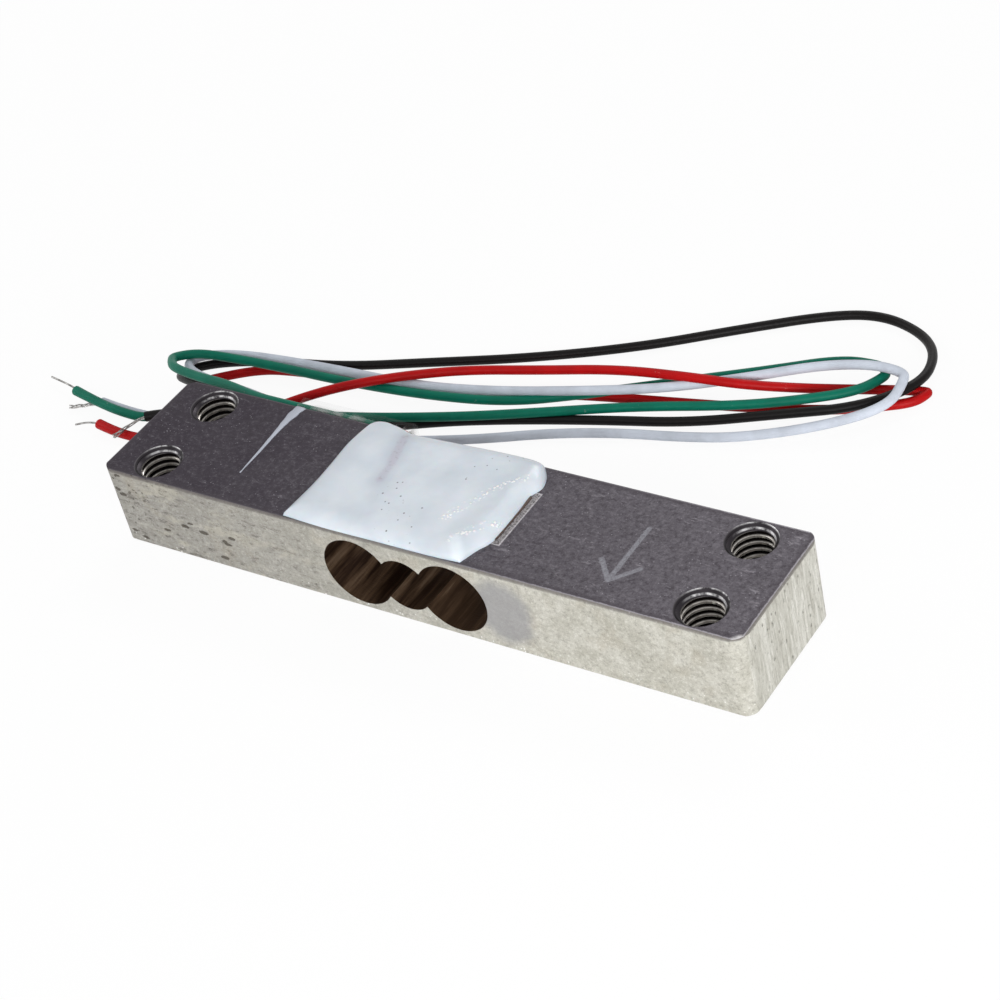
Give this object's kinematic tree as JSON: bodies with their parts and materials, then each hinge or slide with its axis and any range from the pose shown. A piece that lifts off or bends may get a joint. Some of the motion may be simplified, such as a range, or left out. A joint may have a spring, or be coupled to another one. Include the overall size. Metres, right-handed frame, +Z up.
{
  "type": "single point load cell",
  "caption": "Single point load cell: milled bar with a double-bore flexure, tapped mounting holes at both ends, potted strain gauges and colour-coded leads.",
  "frame": {"origin": "centre of the bar's bottom face", "axes": "+X along the bar from the fixed end (where the leads end) to the loaded end, +Y to the face the leads are glued to, +Z up out of the gauged face"},
  "size_m": [0.0639, 0.0375, 0.0069],
  "materials": {
    "milled_aluminium": "milled, slightly rough, speckled with fine pits",
    "polyimide": "thin amber polyimide film",
    "gauge_foil": "etched constantan foil",
    "solder": "bright tin solder",
    "white_silicone": "translucent white silicone, glossy, uneven",
    "clear_glue": "clear glue, slightly cloudy",
    "dried_glue": "thin dried smear of glue",
    "tinned_copper": "tinned stranded copper",
    "green_insulation": "thin PVC insulation, satin",
    "black_insulation": "thin PVC insulation, satin",
    "white_insulation": "thin PVC insulation, satin",
    "red_insulation": "thin PVC insulation, satin"
  },
  "bodies": {
    "root": {"beam": "milled_aluminium", "gauge_film": "polyimide", "gauge_foil": "gauge_foil", "solder_joints": "solder", "silicone_cover": "white_silicone", "wire_glue": "clear_glue", "glue_streak": "dried_glue", "green_wire_root": "green_insulation", "green_wire": "green_insulation", "green_wire_end": "tinned_copper", "black_wire_root": "black_insulation", "black_wire": "black_insulation", "black_wire_end": "tinned_copper", "white_wire_root": "white_insulation", "white_wire": "white_insulation", "white_wire_end": "tinned_copper", "red_wire_root": "red_insulation", "red_wire": "red_insulation", "red_wire_end": "tinned_copper"}
  },
  "joints": []
}
